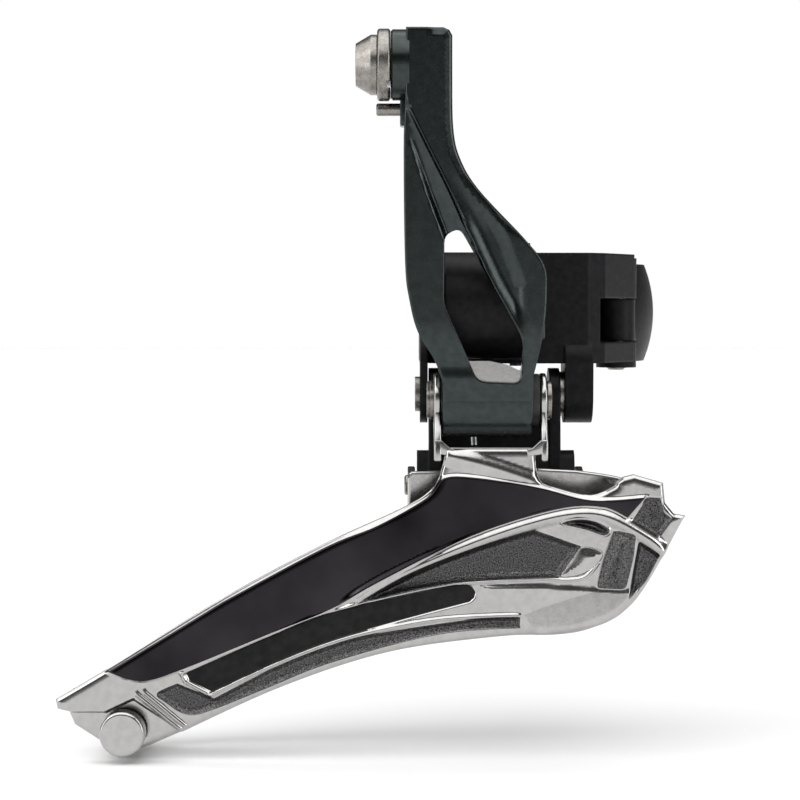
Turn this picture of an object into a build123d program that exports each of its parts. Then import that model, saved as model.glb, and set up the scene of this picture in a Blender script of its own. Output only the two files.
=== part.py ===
from build123d import *
import math
import os

# Band-on front derailleur for a double crankset. Millimetres.
# +X points forwards, +Y inboard (towards the bicycle), +Z up along the seat tube.
# The origin is the centre of the clamp bore at half its height.

os.makedirs("parts", exist_ok=True)

# Seat-tube clamp
bore_radius = 17.45
clamp_radius = 20.2
clamp_edge_radius = 18.6
clamp_half_height = 8.2
split_half_gap = 0.5
hinge_angle = -53.5
hinge_offset = 20.6
hinge_pin_radius = 1.5
knuckle_radius = 3.3
knuckle_half_height = 9.0
middle_knuckle = (-4.6, 2.3)
lug_angle = 118.0
lug_bolt_offset = 24.6
lug_half_height = 4.5
lug_reach = 28.2
clamp_bolt_radius = 2.5

# Linkage pivots run along X and are given as (Y, Z); the four make a parallelogram
arm_pivot = (-39.0, 1.2)
link_vector = (-2.0, -14.5)
cage_pivot = (arm_pivot[0] + link_vector[0], arm_pivot[1] + link_vector[1])
link_top = (-27.5, -13.0)
link_foot = (link_top[0] + link_vector[0], link_top[1] + link_vector[1])
running = 0.05

# Main casting
casting_face = -31.0
casting_top = 9.6
casting_bottom = -8.0
casting_rear = -20.4
boss_centre = (-37.5, 1.2)
boss_radius = 8.3
boss_span = (-16.8, -4.2)
flange_radius = 4.6
rear_flange = (-20.4, -19.2)
front_flange = (2.6, 7.1)

# Arm
arm_face = -49.4
arm_limb_back = -46.4
arm_ears = ((-19.8, -17.1), (-3.9, -1.6))
barrel_radius = 5.8
barrel_span = (-17.1, -3.4)
arm_pin_radius = 2.5
cable_axis = (-44.8, 37.65)
anchor_boss_radius = 5.35
anchor_pin_place = (-43.8, 31.0)
anchor_pin_radius = 0.95

# Cage
outer_face = -47.0
plate_thickness = 1.2
outer_back = outer_face + plate_thickness
inner_face = -35.5
inner_back = inner_face + plate_thickness
cage_pin_radius = 2.0
outer_ears = ((-18.4, -17.3), (-2.1, -1.1))
inner_ears = ((-22.4, -21.2), (4.4, 5.6))
tail_rivet = (-65.8, -63.8)
tail_rivet_radius = 2.0
tail_head_face = -49.6

# Inner link
cheek_radius = 4.2
foot_radius = 3.4
link_cheeks = ((-19.0, -17.2), (0.2, 1.9))
link_foot_span = (-20.9, 4.2)
link_pin_radius = 2.0
foot_pin_radius = 1.6
cam_span = (-11.3, -3.3)
cam_half_width = 3.2

# Limit screws stand along Z, given as (X, Y, height of the tip)
limit_screw_radius = 2.0
limit_head_radius = 2.3
limit_tip_radius = 1.0
limit_tip_length = 1.6
low_screw_place = (-9.3, link_top[0] + 2.2, link_top[1] + cam_half_width + 0.03)
high_screw_place = (-5.0, link_top[0], link_top[1] + 4.55)

hinge_xy = (
    hinge_offset * math.cos(math.radians(hinge_angle)),
    hinge_offset * math.sin(math.radians(hinge_angle)),
)
radial = Vector(math.cos(math.radians(lug_angle)), math.sin(math.radians(lug_angle)), 0)
tangent = Vector(-radial.Y, radial.X, 0)


def across(x):
    """Plane square to X at x, whose sketch axes are Y and Z."""
    return Plane(origin=(x, 0, 0), x_dir=(0, 1, 0), z_dir=(1, 0, 0))


def facing(y):
    """Plane square to Y at y, whose sketch axes are X and Z and whose normal points outboard."""
    return Plane(origin=(0, y, 0), x_dir=(1, 0, 0), z_dir=(0, -1, 0))


def at_lug(t):
    """Plane square to the clamp bolt at t along it, with the radial direction as its X."""
    return Plane(origin=tangent * t, x_dir=radial, z_dir=tangent)


def save(part, label):
    part.label = label
    export_step(part, f"parts/{label}.step")


def add_rod(centre, radius, start, end, mode=Mode.ADD):
    """Round bar along X between start and end, centred on (Y, Z)."""
    with BuildSketch(across(start)) as profile:
        with Locations(centre):
            Circle(radius)
    extrude(profile.sketch, amount=end - start, mode=mode)


def add_post(centre, radius, start, end, mode=Mode.ADD):
    """Round bar along Z between start and end, centred on (X, Y)."""
    with BuildSketch(Plane.XY.offset(start)) as profile:
        with Locations(centre):
            Circle(radius)
    extrude(profile.sketch, amount=end - start, mode=mode)


def add_stud(centre, radius, start, end, mode=Mode.ADD):
    """Round bar along Y from start outboard to end, centred on (X, Z)."""
    with BuildSketch(facing(start)) as profile:
        with Locations(centre):
            Circle(radius)
    extrude(profile.sketch, amount=start - end, mode=mode)


def add_outline(plane, points, depth, mode=Mode.ADD):
    """Prism on a closed run of straight edges."""
    with BuildSketch(plane) as profile:
        with BuildLine():
            Polyline(*points, close=True)
        make_face()
    extrude(profile.sketch, amount=depth, mode=mode)


def add_lobe(plane, first, first_radius, second, second_radius, depth, mode=Mode.ADD):
    """Plate with two round ends of their own radii, joined by straight sides."""
    with BuildSketch(plane) as profile:
        with Locations(first):
            Circle(first_radius)
        with Locations(second):
            Circle(second_radius)
        make_hull()
    extrude(profile.sketch, amount=depth, mode=mode)


def add_tangent_rod(centre, radius, start, end, mode=Mode.ADD):
    """Round bar along the clamp bolt's direction, centred at a radial distance."""
    with BuildSketch(at_lug(start)) as profile:
        with Locations((centre, 0)):
            Circle(radius)
    extrude(profile.sketch, amount=end - start, mode=mode)


def crowned_ring():
    """Full ring whose outer face bulges at half its height."""
    with BuildSketch(Plane.XZ) as profile:
        with BuildLine():
            Polyline(
                (clamp_edge_radius, clamp_half_height),
                (bore_radius, clamp_half_height),
                (bore_radius, -clamp_half_height),
                (clamp_edge_radius, -clamp_half_height),
            )
            ThreePointArc(
                (clamp_edge_radius, -clamp_half_height),
                (clamp_radius, 0),
                (clamp_edge_radius, clamp_half_height),
            )
        make_face()
    revolve(profile.sketch, axis=Axis.Z, revolution_arc=360)


def cut_sector(start_angle, end_angle, widen):
    """Removes a pie slice of the ring, with its straight sides moved out by widen."""
    reach = 60
    steps = 6
    span = math.radians(end_angle - start_angle)
    first = math.radians(start_angle)
    tip = Vector(math.cos(first + span / 2), math.sin(first + span / 2)) * (-widen / math.sin(span / 2))
    rim = [
        (
            tip.X + reach * math.cos(first + span * i / steps),
            tip.Y + reach * math.sin(first + span * i / steps),
        )
        for i in range(steps + 1)
    ]
    add_outline(Plane.XY.offset(-20), [(tip.X, tip.Y), *rim], 40, Mode.SUBTRACT)


def add_lug(start, end):
    """Block that takes the clamp bolt, on one side of the split."""
    with BuildSketch(at_lug(start)) as profile:
        with Locations(((bore_radius + lug_reach) / 2 + 0.4, 0)):
            RectangleRounded(lug_reach - bore_radius, 2 * lug_half_height, 2.0)
    extrude(profile.sketch, amount=end - start)


# Main casting: half the clamp, the boss for the arm's pivot and two flanges for the inner link
with BuildPart() as base_clamp:
    crowned_ring()
    cut_sector(hinge_angle, lug_angle, split_half_gap)
    add_outline(
        Plane.XY.offset(casting_bottom),
        [
            (casting_rear, -6.0),
            (casting_rear, -27.6),
            (-17.0, casting_face),
            (6.4, casting_face),
            (9.2, -28.6),
            (15.0, -18.6),
            (14.0, -15.2),
            (7.0, -12.6),
            (-8.0, -12.0),
        ],
        casting_top - casting_bottom,
    )
    fillet(base_clamp.edges().filter_by(Axis.Z).group_by(Axis.Y)[0], radius=1.0)
    add_post(hinge_xy, knuckle_radius, -knuckle_half_height, knuckle_half_height)
    add_rod(boss_centre, boss_radius, *boss_span)
    add_outline(
        across(boss_span[0]),
        [
            (boss_centre[0], boss_centre[1] + boss_radius),
            (casting_face + 1, boss_centre[1] + boss_radius),
            (casting_face + 1, boss_centre[1] - boss_radius),
            (boss_centre[0], boss_centre[1] - boss_radius),
        ],
        boss_span[1] - boss_span[0],
    )
    flange_root = (link_top[0], casting_bottom)
    for start, end in (rear_flange, front_flange):
        add_lobe(across(start), link_top, flange_radius, flange_root, flange_radius, end - start)
    add_lug(split_half_gap, 5.0)
    add_post((0, 0), bore_radius, -20, 20, Mode.SUBTRACT)
    add_outline(
        Plane.XY.offset(middle_knuckle[0] - 0.1),
        [(8.4, -32), (20, -32), (20, -8), (8.4, -8)],
        middle_knuckle[1] - middle_knuckle[0] + 0.2,
        Mode.SUBTRACT,
    )
    add_post(hinge_xy, hinge_pin_radius, -20, 20, Mode.SUBTRACT)
    add_rod(arm_pivot, 3.2, boss_span[0] - 1, boss_span[1] + 1, Mode.SUBTRACT)
    add_rod(link_top, link_pin_radius, -25, 10, Mode.SUBTRACT)
    add_tangent_rod(lug_bolt_offset, clamp_bolt_radius + running, 0, 6, Mode.SUBTRACT)
    for x, y, tip in (low_screw_place, high_screw_place):
        add_post((x, y), limit_screw_radius + running, casting_bottom - 1, casting_top + 1, Mode.SUBTRACT)
save(base_clamp.part, "base_clamp")

# Swinging half of the clamp, with the middle hinge knuckle and the lug for the bolt's head
knuckle_web = [(15.0, -14.6), (17.4, -8.0), (16.4, -7.0), (12.0, -13.2)]
with BuildPart() as clamp_band:
    crowned_ring()
    cut_sector(lug_angle, hinge_angle + 360, split_half_gap)
    with BuildSketch(Plane.XY.offset(middle_knuckle[0])):
        with Locations(hinge_xy):
            Circle(knuckle_radius - 0.2)
        with BuildLine():
            Polyline((hinge_xy[0], hinge_xy[1] + 2.6), *knuckle_web, close=True)
        make_face()
    extrude(amount=middle_knuckle[1] - middle_knuckle[0])
    add_lug(-5.0, -split_half_gap)
    add_post((0, 0), bore_radius, -20, 20, Mode.SUBTRACT)
    add_post(hinge_xy, knuckle_radius + 0.35, -knuckle_half_height - 1, middle_knuckle[0], Mode.SUBTRACT)
    add_post(hinge_xy, knuckle_radius + 0.35, middle_knuckle[1], knuckle_half_height + 1, Mode.SUBTRACT)
    add_post(hinge_xy, hinge_pin_radius + running, -20, 20, Mode.SUBTRACT)
    add_tangent_rod(lug_bolt_offset, clamp_bolt_radius + running, -6, 0, Mode.SUBTRACT)
save(clamp_band.part, "clamp_band")

with BuildPart() as hinge_pin:
    add_post(hinge_xy, hinge_pin_radius, -knuckle_half_height - 0.4, knuckle_half_height + 0.4)
    chamfer(hinge_pin.edges(), length=0.3)
save(hinge_pin.part, "hinge_pin")

# Clamp bolt: socket head outside the band's lug, thread in the casting's lug
with BuildPart() as clamp_bolt:
    add_tangent_rod(lug_bolt_offset, clamp_bolt_radius, -6.1, 4.6)
    add_tangent_rod(lug_bolt_offset, 4.2, -10.9, -6.1)
    with BuildSketch(at_lug(-10.9)):
        with Locations((lug_bolt_offset, 0)):
            RegularPolygon(2.9, 6)
    extrude(amount=2.8, mode=Mode.SUBTRACT)
save(clamp_bolt.part, "clamp_bolt")

with BuildPart() as clamp_washer:
    add_tangent_rod(lug_bolt_offset, 4.6, -6.0, -5.0)
    add_tangent_rod(lug_bolt_offset, clamp_bolt_radius + running, -6.0, -5.0, Mode.SUBTRACT)
save(clamp_washer.part, "clamp_washer")

# Long pull arm, cut from one bar: front outline met with side profile, then ears and bores
arm_outline = [
    (-22.7, 43.0), (-17.0, 43.0), (-15.7, 41.7), (-15.7, 30.0), (-15.0, 24.7), (-14.6, 23.4),
    (-11.8, 18.7), (-8.4, 14.9), (-4.9, 11.3), (-3.2, 9.1), (-1.9, 7.3), (-1.5, 4.5),
    (-1.6, -0.7), (-2.9, -6.5), (-3.4, -8.7), (-3.4, -20.0), (-17.1, -20.0), (-17.1, -9.2),
    (-18.8, -6.2), (-20.9, -2.8), (-22.2, 2.1), (-22.8, 8.0), (-23.1, 25.3), (-22.7, 30.0),
]
arm_window = [
    (-15.4, 12.6), (-16.6, 11.9), (-16.9, 10.8), (-16.9, 1.4), (-11.9, -9.6), (-11.3, -10.2), (-6.3, -10.4),
    (-5.5, -9.9), (-5.1, -8.8), (-5.1, -3.8), (-8.8, 2.8), (-12.2, 9.2), (-13.6, 12.0), (-14.4, 12.5),
]
side_profile = [
    (-46.8, -13.3), (-48.6, -7.5), (arm_face, -2.0), (arm_face, 14.0), (-49.2, 43.2),
    (-40.4, 43.2), (-40.4, 31.0), (-44.0, 24.0), (-45.2, 12.5), (arm_limb_back, 11.0), (arm_limb_back, -7.2),
    (-44.0, -8.6), (-41.0, -7.6), (-41.0, -13.3),
]
stop_plate_outline = [(-15.6, -7.2), (-10.0, -7.2), (-7.2, -7.8), (-4.9, -8.9), (-4.9, -11.6), (-15.6, -11.6)]
stop_plate_back = -45.2
stop_plate_thickness = 1.0
barrel_flat = [(-12.2, -9.2), (-5.1, -9.2), (-5.1, -5.0), (-12.2, -5.0)]
with BuildPart() as pull_arm:
    add_outline(facing(-34.0), arm_outline, 17.0)
    with BuildSketch(across(-30.0)):
        with BuildLine():
            Polyline(*side_profile, close=True)
        make_face()
        with Locations(cage_pivot):
            Circle(barrel_radius)
    extrude(amount=32.0, mode=Mode.INTERSECT)
    add_outline(facing(-30.0), arm_window, 22.0, Mode.SUBTRACT)
    for start, end in arm_ears:
        add_lobe(across(start), arm_pivot, 5.2, (-44.2, arm_pivot[1]), 5.0, end - start)
    add_rod(cable_axis, anchor_boss_radius, -25.0, -22.0)
    add_outline(across(-23.6), [(-46.0, 28.2), (-41.6, 28.2), (-41.6, 33.2), (-46.0, 33.2)], 1.4)
    add_rod(cage_pivot, barrel_radius, *barrel_span)
    add_outline(facing(inner_face), barrel_flat, inner_face - arm_limb_back, Mode.SUBTRACT)
    add_outline(facing(stop_plate_back), stop_plate_outline, stop_plate_thickness, Mode.SUBTRACT)
    add_rod(arm_pivot, arm_pin_radius, -25, 5, Mode.SUBTRACT)
    add_rod(arm_pivot, boss_radius + 0.3, boss_span[0] - 0.3, boss_span[1] + 0.3, Mode.SUBTRACT)
    add_rod(cage_pivot, 3.0, -25, 5, Mode.SUBTRACT)
    add_rod(cable_axis, 2.55, -26, -14, Mode.SUBTRACT)
    add_rod(anchor_pin_place, anchor_pin_radius, -24, -21, Mode.SUBTRACT)
save(pull_arm.part, "pull_arm")

# Steel stop plate that stands on the front of the arm's barrel, across the foot of the window
with BuildPart() as stop_plate:
    add_outline(facing(stop_plate_back), stop_plate_outline, stop_plate_thickness)
save(stop_plate.part, "stop_plate")

with BuildPart() as arm_pivot_pin:
    add_rod(arm_pivot, arm_pin_radius, -20.3, -1.1)
    chamfer(arm_pivot_pin.edges(), length=0.4)
save(arm_pivot_pin.part, "arm_pivot_pin")


def flanged_bush(centre, bore, sleeve, flange, flange_start, flange_end, sleeve_end):
    """Plain bearing sleeve with a thrust flange at one end."""
    with BuildPart() as bush:
        add_rod(centre, flange, min(flange_start, flange_end), max(flange_start, flange_end))
        add_rod(centre, sleeve, min(flange_end, sleeve_end), max(flange_end, sleeve_end))
        add_rod(centre, bore, -30, 15, Mode.SUBTRACT)
    return bush.part


arm_bush_bore = arm_pin_radius + running
save(
    flanged_bush(arm_pivot, arm_bush_bore, 3.2, 4.8, boss_span[0] - 0.2, boss_span[0], boss_span[0] + 5.0),
    "arm_bush_rear",
)
save(
    flanged_bush(arm_pivot, arm_bush_bore, 3.2, 4.8, boss_span[1] + 0.2, boss_span[1], boss_span[1] - 5.0),
    "arm_bush_front",
)
cage_bush_bore = cage_pin_radius + running
save(
    flanged_bush(cage_pivot, cage_bush_bore, 3.0, 4.0, -17.2, barrel_span[0], barrel_span[0] + 5.0),
    "cage_bush_rear",
)
save(
    flanged_bush(cage_pivot, cage_bush_bore, 3.0, 4.0, -2.2, barrel_span[1], barrel_span[1] - 5.0),
    "cage_bush_front",
)

# Cable anchor: bolt with a tapered socket head, grooved washer and locating pin
with BuildPart() as cable_bolt:
    add_rod(cable_axis, 2.5, -27.1, -16.3)
    add_rod(cable_axis, 4.55, -28.0, -27.1)
    with BuildSketch(across(-28.0)):
        with Locations(cable_axis):
            Circle(4.55)
    with BuildSketch(across(-30.3)):
        with Locations(cable_axis):
            Circle(3.2)
    loft()
    with BuildSketch(across(-30.3)):
        with Locations(cable_axis):
            RegularPolygon(2.6, 6)
    extrude(amount=2.4, mode=Mode.SUBTRACT)
save(cable_bolt.part, "cable_bolt")

with BuildPart() as cable_washer:
    add_rod(cable_axis, 5.45, -27.05, -25.05)
    fillet(cable_washer.edges().filter_by(GeomType.CIRCLE), radius=0.45)
    add_rod(cable_axis, 2.55, -28, -24, Mode.SUBTRACT)
    with BuildSketch(across(-25.05)):
        with Locations((cable_axis[0], cable_axis[1] - 3.3)):
            Rectangle(12.0, 0.9)
    extrude(amount=-0.6, mode=Mode.SUBTRACT)
save(cable_washer.part, "cable_washer")

with BuildPart() as anchor_pin:
    add_rod(anchor_pin_place, anchor_pin_radius, -27.2, -21.2)
    chamfer(anchor_pin.edges(), length=0.2)
save(anchor_pin.part, "anchor_pin")

# Inner link: two cheeks, a web, a stop cam in the middle and a wide foot
link_axis = Vector(0, link_vector[0], link_vector[1]).normalized()
web_start = (link_top[0] + link_axis.Y * 5.4, link_top[1] + link_axis.Z * 5.4)
with BuildPart() as inner_link:
    for start, end in link_cheeks:
        add_lobe(across(start), link_top, cheek_radius, link_foot, foot_radius, end - start)
    add_lobe(across(link_cheeks[0][0]), web_start, 1.3, link_foot, 1.3, link_cheeks[1][1] - link_cheeks[0][0])
    add_rod(link_foot, foot_radius, link_foot_span[0], link_foot_span[1])
    add_lobe(
        across(link_foot_span[0]),
        (link_foot[0], link_foot[1] + 3.6),
        2.0,
        link_foot,
        foot_radius,
        link_foot_span[1] - link_foot_span[0],
    )
    with BuildSketch(across(cam_span[0])):
        with Locations(link_top):
            Rectangle(2 * cam_half_width, 2 * cam_half_width)
        with Locations((link_top[0] - 0.4, link_top[1] - 4.4)):
            Rectangle(4.4, 4.4)
    extrude(amount=cam_span[1] - cam_span[0])
    add_rod(link_top, link_pin_radius + running, -25, 10, Mode.SUBTRACT)
    add_rod(link_foot, foot_pin_radius + running, -25, 10, Mode.SUBTRACT)
save(inner_link.part, "inner_link")

with BuildPart() as link_pin_upper:
    add_rod(link_top, link_pin_radius, -20.8, 7.1)
    add_rod(link_top, 2.8, -21.2, -20.4)
save(link_pin_upper.part, "link_pin_upper")

with BuildPart() as link_pin_lower:
    add_rod(link_foot, foot_pin_radius, -22.9, 6.1)
    chamfer(link_pin_lower.edges(), length=0.25)
save(link_pin_lower.part, "link_pin_lower")

with BuildPart() as link_thrust_washer:
    add_rod(link_top, 3.6, 1.95, 2.6)
    add_rod(link_top, link_pin_radius, 1.9, 2.7, Mode.SUBTRACT)
save(link_thrust_washer.part, "link_thrust_washer")

# Return spring: three turns round the upper link pin, one end on the casting, one on the link's web
spring_wire = 0.65
spring_coil_radius = 3.2
spring_start = -16.4
spring_length = 4.1
spring_turns = 3.25
with BuildPart() as return_spring:
    with BuildLine():
        coil_path = Helix(
            pitch=spring_length / spring_turns,
            height=spring_length,
            radius=spring_coil_radius,
            center=(spring_start, link_top[0], link_top[1]),
            direction=(1, 0, 0),
        )
    with BuildSketch(Plane(origin=coil_path @ 0, z_dir=coil_path % 0)):
        Circle(spring_wire)
    sweep(path=coil_path, is_frenet=True)
    for at, way, reach in ((0, -1, 6.0), (1, 1, 8.0)):
        with BuildSketch(Plane(origin=coil_path @ at, z_dir=(coil_path % at) * way)):
            Circle(spring_wire)
        extrude(amount=reach)
save(return_spring.part, "return_spring")

with BuildPart() as spring_sleeve:
    add_rod(link_top, 2.4, -17.1, -11.4)
    add_rod(link_top, link_pin_radius + running, -18, -11, Mode.SUBTRACT)
save(spring_sleeve.part, "spring_sleeve")

# Limit screws, turned from above, whose dog points meet the cam
for label, (x, y, tip) in (("low_limit_screw", low_screw_place), ("high_limit_screw", high_screw_place)):
    with BuildPart() as limit_screw:
        add_post((x, y), limit_tip_radius, tip, tip + limit_tip_length)
        add_post((x, y), limit_screw_radius, tip + limit_tip_length, casting_top + 0.05)
        add_post((x, y), limit_head_radius, casting_top + 0.05, casting_top + 1.6)
        with BuildSketch(Plane.XY.offset(casting_top + 0.9)):
            with Locations((x, y)):
                Rectangle(3.2, 0.8)
                Rectangle(0.8, 3.2)
        extrude(amount=1.0, mode=Mode.SUBTRACT)
    save(limit_screw.part, label)

# Outer cage plate: pressed steel, with a neck up to two ears and a bridge over the chain at the front
outer_outline = [
    (-76.3, -59.0), (-74.3, -56.9), (-68.7, -54.5), (-66.0, -52.5), (-50.6, -43.4), (-41.7, -38.8),
    (-35.1, -35.1), (-27.4, -31.9), (-23.6, -29.8), (-21.2, -28.6), (-18.7, -26.7), (-17.5, -24.7),
    (-16.9, -22.6), (-16.6, -20.4), (-3.1, -20.4), (-2.9, -23.2), (-2.4, -25.2), (0.6, -26.6),
    (5.5, -27.6), (9.0, -26.3), (9.4, -25.0), (16.2, -25.6), (16.5, -29.2), (17.2, -30.2),
    (18.7, -30.7), (19.7, -30.7), (19.5, -31.4), (18.0, -34.2), (14.0, -41.4), (12.4, -43.7),
    (10.3, -45.7), (7.6, -47.4), (5.0, -48.2), (0.6, -49.0), (-8.4, -49.3), (-14.5, -49.9),
    (-25.4, -51.7), (-33.5, -54.2), (-41.6, -57.0), (-49.7, -60.7), (-55.4, -63.3), (-57.8, -64.3),
    (-64.2, -67.3), (-65.6, -67.5), (-66.9, -67.3), (-73.5, -63.0), (-74.4, -60.8), (-76.2, -60.4),
]
panel_outline = [
    (-67.0, -54.5), (-50.6, -45.2), (-35.1, -36.9), (-24.0, -31.6), (-17.6, -27.4), (-2.0, -27.2),
    (5.0, -29.4), (14.5, -30.6), (9.8, -32.6), (-0.8, -31.4), (-16.0, -35.8), (-32.0, -44.0),
    (-50.0, -52.2), (-62.0, -57.2),
]
lower_outline = [
    (-56.0, -57.6), (-34.0, -47.4), (-19.0, -40.2), (0.0, -33.4), (12.0, -31.6), (16.0, -33.8),
    (11.6, -41.6), (4.4, -46.0), (-8.0, -47.6), (-25.0, -49.8), (-42.0, -55.2), (-54.0, -60.2),
]
bridge_thickness = 1.2
bridge_foot = inner_face
bridge_section = [(9.6, -26.2), (16.0, -26.8), (16.1, -28.0), (9.6, -27.4)]
bridge_tab = [(9.6, -26.2), (16.0, -26.8), (15.6, -34.0), (10.4, -33.4)]
bridge_rivet_place = (12.9, -30.9)
bridge_rivet_radius = 1.3
with BuildPart() as cage_outer_plate:
    add_outline(facing(outer_back), outer_outline, plate_thickness)
    add_outline(facing(outer_face), panel_outline, 0.9)
    add_outline(facing(outer_face), lower_outline, 1.6)
    for start, end in outer_ears:
        add_lobe(across(start), cage_pivot, 4.1, (-44.6, -20.6), 1.4, end - start)
    for start, end in ((outer_ears[0][0], -16.4), (-3.3, outer_ears[1][1])):
        add_outline(
            across(start),
            [(outer_face, -23.2), (outer_back, -23.2), (-44.0, -20.4), (-45.2, -19.4), (outer_face, -19.8)],
            end - start,
        )
    add_outline(facing(bridge_foot), bridge_section, bridge_foot - outer_back)
    add_outline(facing(bridge_foot), bridge_tab, bridge_thickness)
    add_stud(bridge_rivet_place, bridge_rivet_radius, -30, -50, Mode.SUBTRACT)
    add_rod(cage_pivot, cage_pin_radius, -25, 5, Mode.SUBTRACT)
    add_stud(tail_rivet, tail_rivet_radius, -30, -50, Mode.SUBTRACT)
save(cage_outer_plate.part, "cage_outer_plate")

# Inner cage plate, with a raised rib for the chain and two ears for the lower link pin
inner_outline = [
    (-75.6, -59.4), (-69.5, -56.8), (-51.6, -46.2), (-36.5, -38.2), (-25.6, -33.8), (-22.4, -31.0),
    (-22.4, -25.0), (-19.5, -24.7), (-2.0, -24.3), (4.0, -24.6), (11.0, -25.8), (16.0, -27.8),
    (18.6, -31.4), (17.0, -36.0), (13.0, -42.6), (9.0, -46.4), (4.0, -48.2), (-8.0, -48.8),
    (-25.0, -50.9), (-42.0, -56.2), (-57.0, -62.8), (-64.5, -66.6), (-67.6, -66.4), (-74.2, -62.0),
]
inner_rib = [
    (-58.0, -56.6), (-34.0, -46.0), (-14.0, -39.6), (4.0, -36.6), (12.6, -37.4),
    (8.6, -43.0), (0.0, -45.0), (-20.0, -47.0), (-40.0, -52.6), (-56.0, -59.4),
]
rib_height = 1.0
with BuildPart() as cage_inner_plate:
    add_outline(facing(inner_back), inner_outline, plate_thickness)
    add_outline(facing(inner_back + rib_height), inner_rib, rib_height)
    for start, end in inner_ears:
        add_lobe(across(start), link_foot, 3.0, (inner_back - 0.2, link_foot[1] - 0.8), 2.2, end - start)
        add_lobe(
            across(start),
            (inner_face + 0.3, link_foot[1] - 0.4),
            0.3,
            (inner_face + 0.3, link_foot[1] - 3.0),
            0.3,
            end - start,
        )
    add_rod(link_foot, foot_pin_radius, -25, 10, Mode.SUBTRACT)
    add_stud(bridge_rivet_place, bridge_rivet_radius, -30, -50, Mode.SUBTRACT)
    add_stud(tail_rivet, tail_rivet_radius, -30, -50, Mode.SUBTRACT)
save(cage_inner_plate.part, "cage_inner_plate")

with BuildPart() as bridge_rivet:
    add_stud(bridge_rivet_place, bridge_rivet_radius, inner_back + 0.1, inner_face - bridge_thickness - 0.1)
    add_stud(bridge_rivet_place, 2.3, inner_back + 0.9, inner_back)
    add_stud(bridge_rivet_place, 2.3, inner_face - bridge_thickness, inner_face - bridge_thickness - 0.8)
    fillet(bridge_rivet.edges().filter_by(GeomType.CIRCLE).group_by(Axis.Y)[-1], radius=0.4)
    fillet(bridge_rivet.edges().filter_by(GeomType.CIRCLE).group_by(Axis.Y)[0], radius=0.4)
save(bridge_rivet.part, "bridge_rivet")

with BuildPart() as tail_spacer:
    add_stud(tail_rivet, 3.0, inner_face, outer_back)
    add_stud(tail_rivet, tail_rivet_radius + running, -30, -50, Mode.SUBTRACT)
save(tail_spacer.part, "tail_spacer")

with BuildPart() as tail_rivet_bolt:
    add_stud(tail_rivet, tail_rivet_radius, inner_back + 0.1, outer_face - 0.1)
    add_stud(tail_rivet, 3.45, outer_face, tail_head_face)
    add_stud(tail_rivet, 2.8, inner_back + 1.1, inner_back)
    fillet(tail_rivet_bolt.edges().filter_by(GeomType.CIRCLE).group_by(Axis.Y)[0], radius=0.5)
    fillet(tail_rivet_bolt.edges().filter_by(GeomType.CIRCLE).group_by(Axis.Y)[-1], radius=0.5)
save(tail_rivet_bolt.part, "tail_rivet")

# Pin that joins the arm to the cage, with a washer under each head
with BuildPart() as cage_pin:
    add_rod(cage_pivot, cage_pin_radius, -19.4, -0.35)
    add_rod(cage_pivot, 2.8, -19.45, -19.0)
    add_rod(cage_pivot, 2.9, -0.9, -0.3)
save(cage_pin.part, "cage_pin")

with BuildPart() as cage_pin_washer:
    add_rod(cage_pivot, 3.0, -19.0, outer_ears[0][0])
    add_rod(cage_pivot, cage_pin_radius, -20, -18, Mode.SUBTRACT)
save(cage_pin_washer.part, "cage_pin_washer")
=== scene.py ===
"""Looks of a band-on front derailleur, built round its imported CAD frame, with sizes in millimetres."""
import logging
import math
from dataclasses import dataclass, field
from enum import Enum
from typing import Callable, Sequence

import bmesh
import bpy
import numpy as np
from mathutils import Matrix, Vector
from mathutils.geometry import delaunay_2d_cdt


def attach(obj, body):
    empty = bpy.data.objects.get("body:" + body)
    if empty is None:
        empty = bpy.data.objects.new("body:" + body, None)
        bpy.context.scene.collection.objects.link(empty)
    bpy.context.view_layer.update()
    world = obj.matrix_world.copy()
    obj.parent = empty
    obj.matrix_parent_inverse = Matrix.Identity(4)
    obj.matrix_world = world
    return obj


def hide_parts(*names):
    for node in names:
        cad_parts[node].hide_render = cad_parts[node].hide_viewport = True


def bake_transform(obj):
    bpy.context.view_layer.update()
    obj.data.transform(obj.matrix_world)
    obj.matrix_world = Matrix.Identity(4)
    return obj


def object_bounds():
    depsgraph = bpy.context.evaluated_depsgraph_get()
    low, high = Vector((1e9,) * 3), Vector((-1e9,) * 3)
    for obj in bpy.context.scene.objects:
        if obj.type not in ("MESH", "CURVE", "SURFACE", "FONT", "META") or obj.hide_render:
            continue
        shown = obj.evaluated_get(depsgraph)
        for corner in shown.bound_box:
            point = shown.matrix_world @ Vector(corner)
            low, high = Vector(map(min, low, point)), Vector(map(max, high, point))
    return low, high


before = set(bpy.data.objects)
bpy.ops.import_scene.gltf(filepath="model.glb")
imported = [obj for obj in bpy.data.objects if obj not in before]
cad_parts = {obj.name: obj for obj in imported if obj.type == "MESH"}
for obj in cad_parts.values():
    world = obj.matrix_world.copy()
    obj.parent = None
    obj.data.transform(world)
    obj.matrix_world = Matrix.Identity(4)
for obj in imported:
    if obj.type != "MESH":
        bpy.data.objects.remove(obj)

CAD_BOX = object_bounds()
MM = 0.001
LOG = logging.getLogger("front_derailleur")

Point = tuple[float, float]
Outline = list[Point]
Array = np.ndarray
Item = bpy.types.Object
Heights = Callable[[Array, Array], Array]


class Body(Enum):
    """Rigid bodies that the refined pieces ride on."""

    BASE = "base"
    ARM = "arm"
    CAGE = "cage"
    LINK = "link"


class Axis(Enum):
    """Ways that a profile is pushed."""

    X = "x"
    Y = "y"


# ---------------------------------------------------------------- materials


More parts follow.
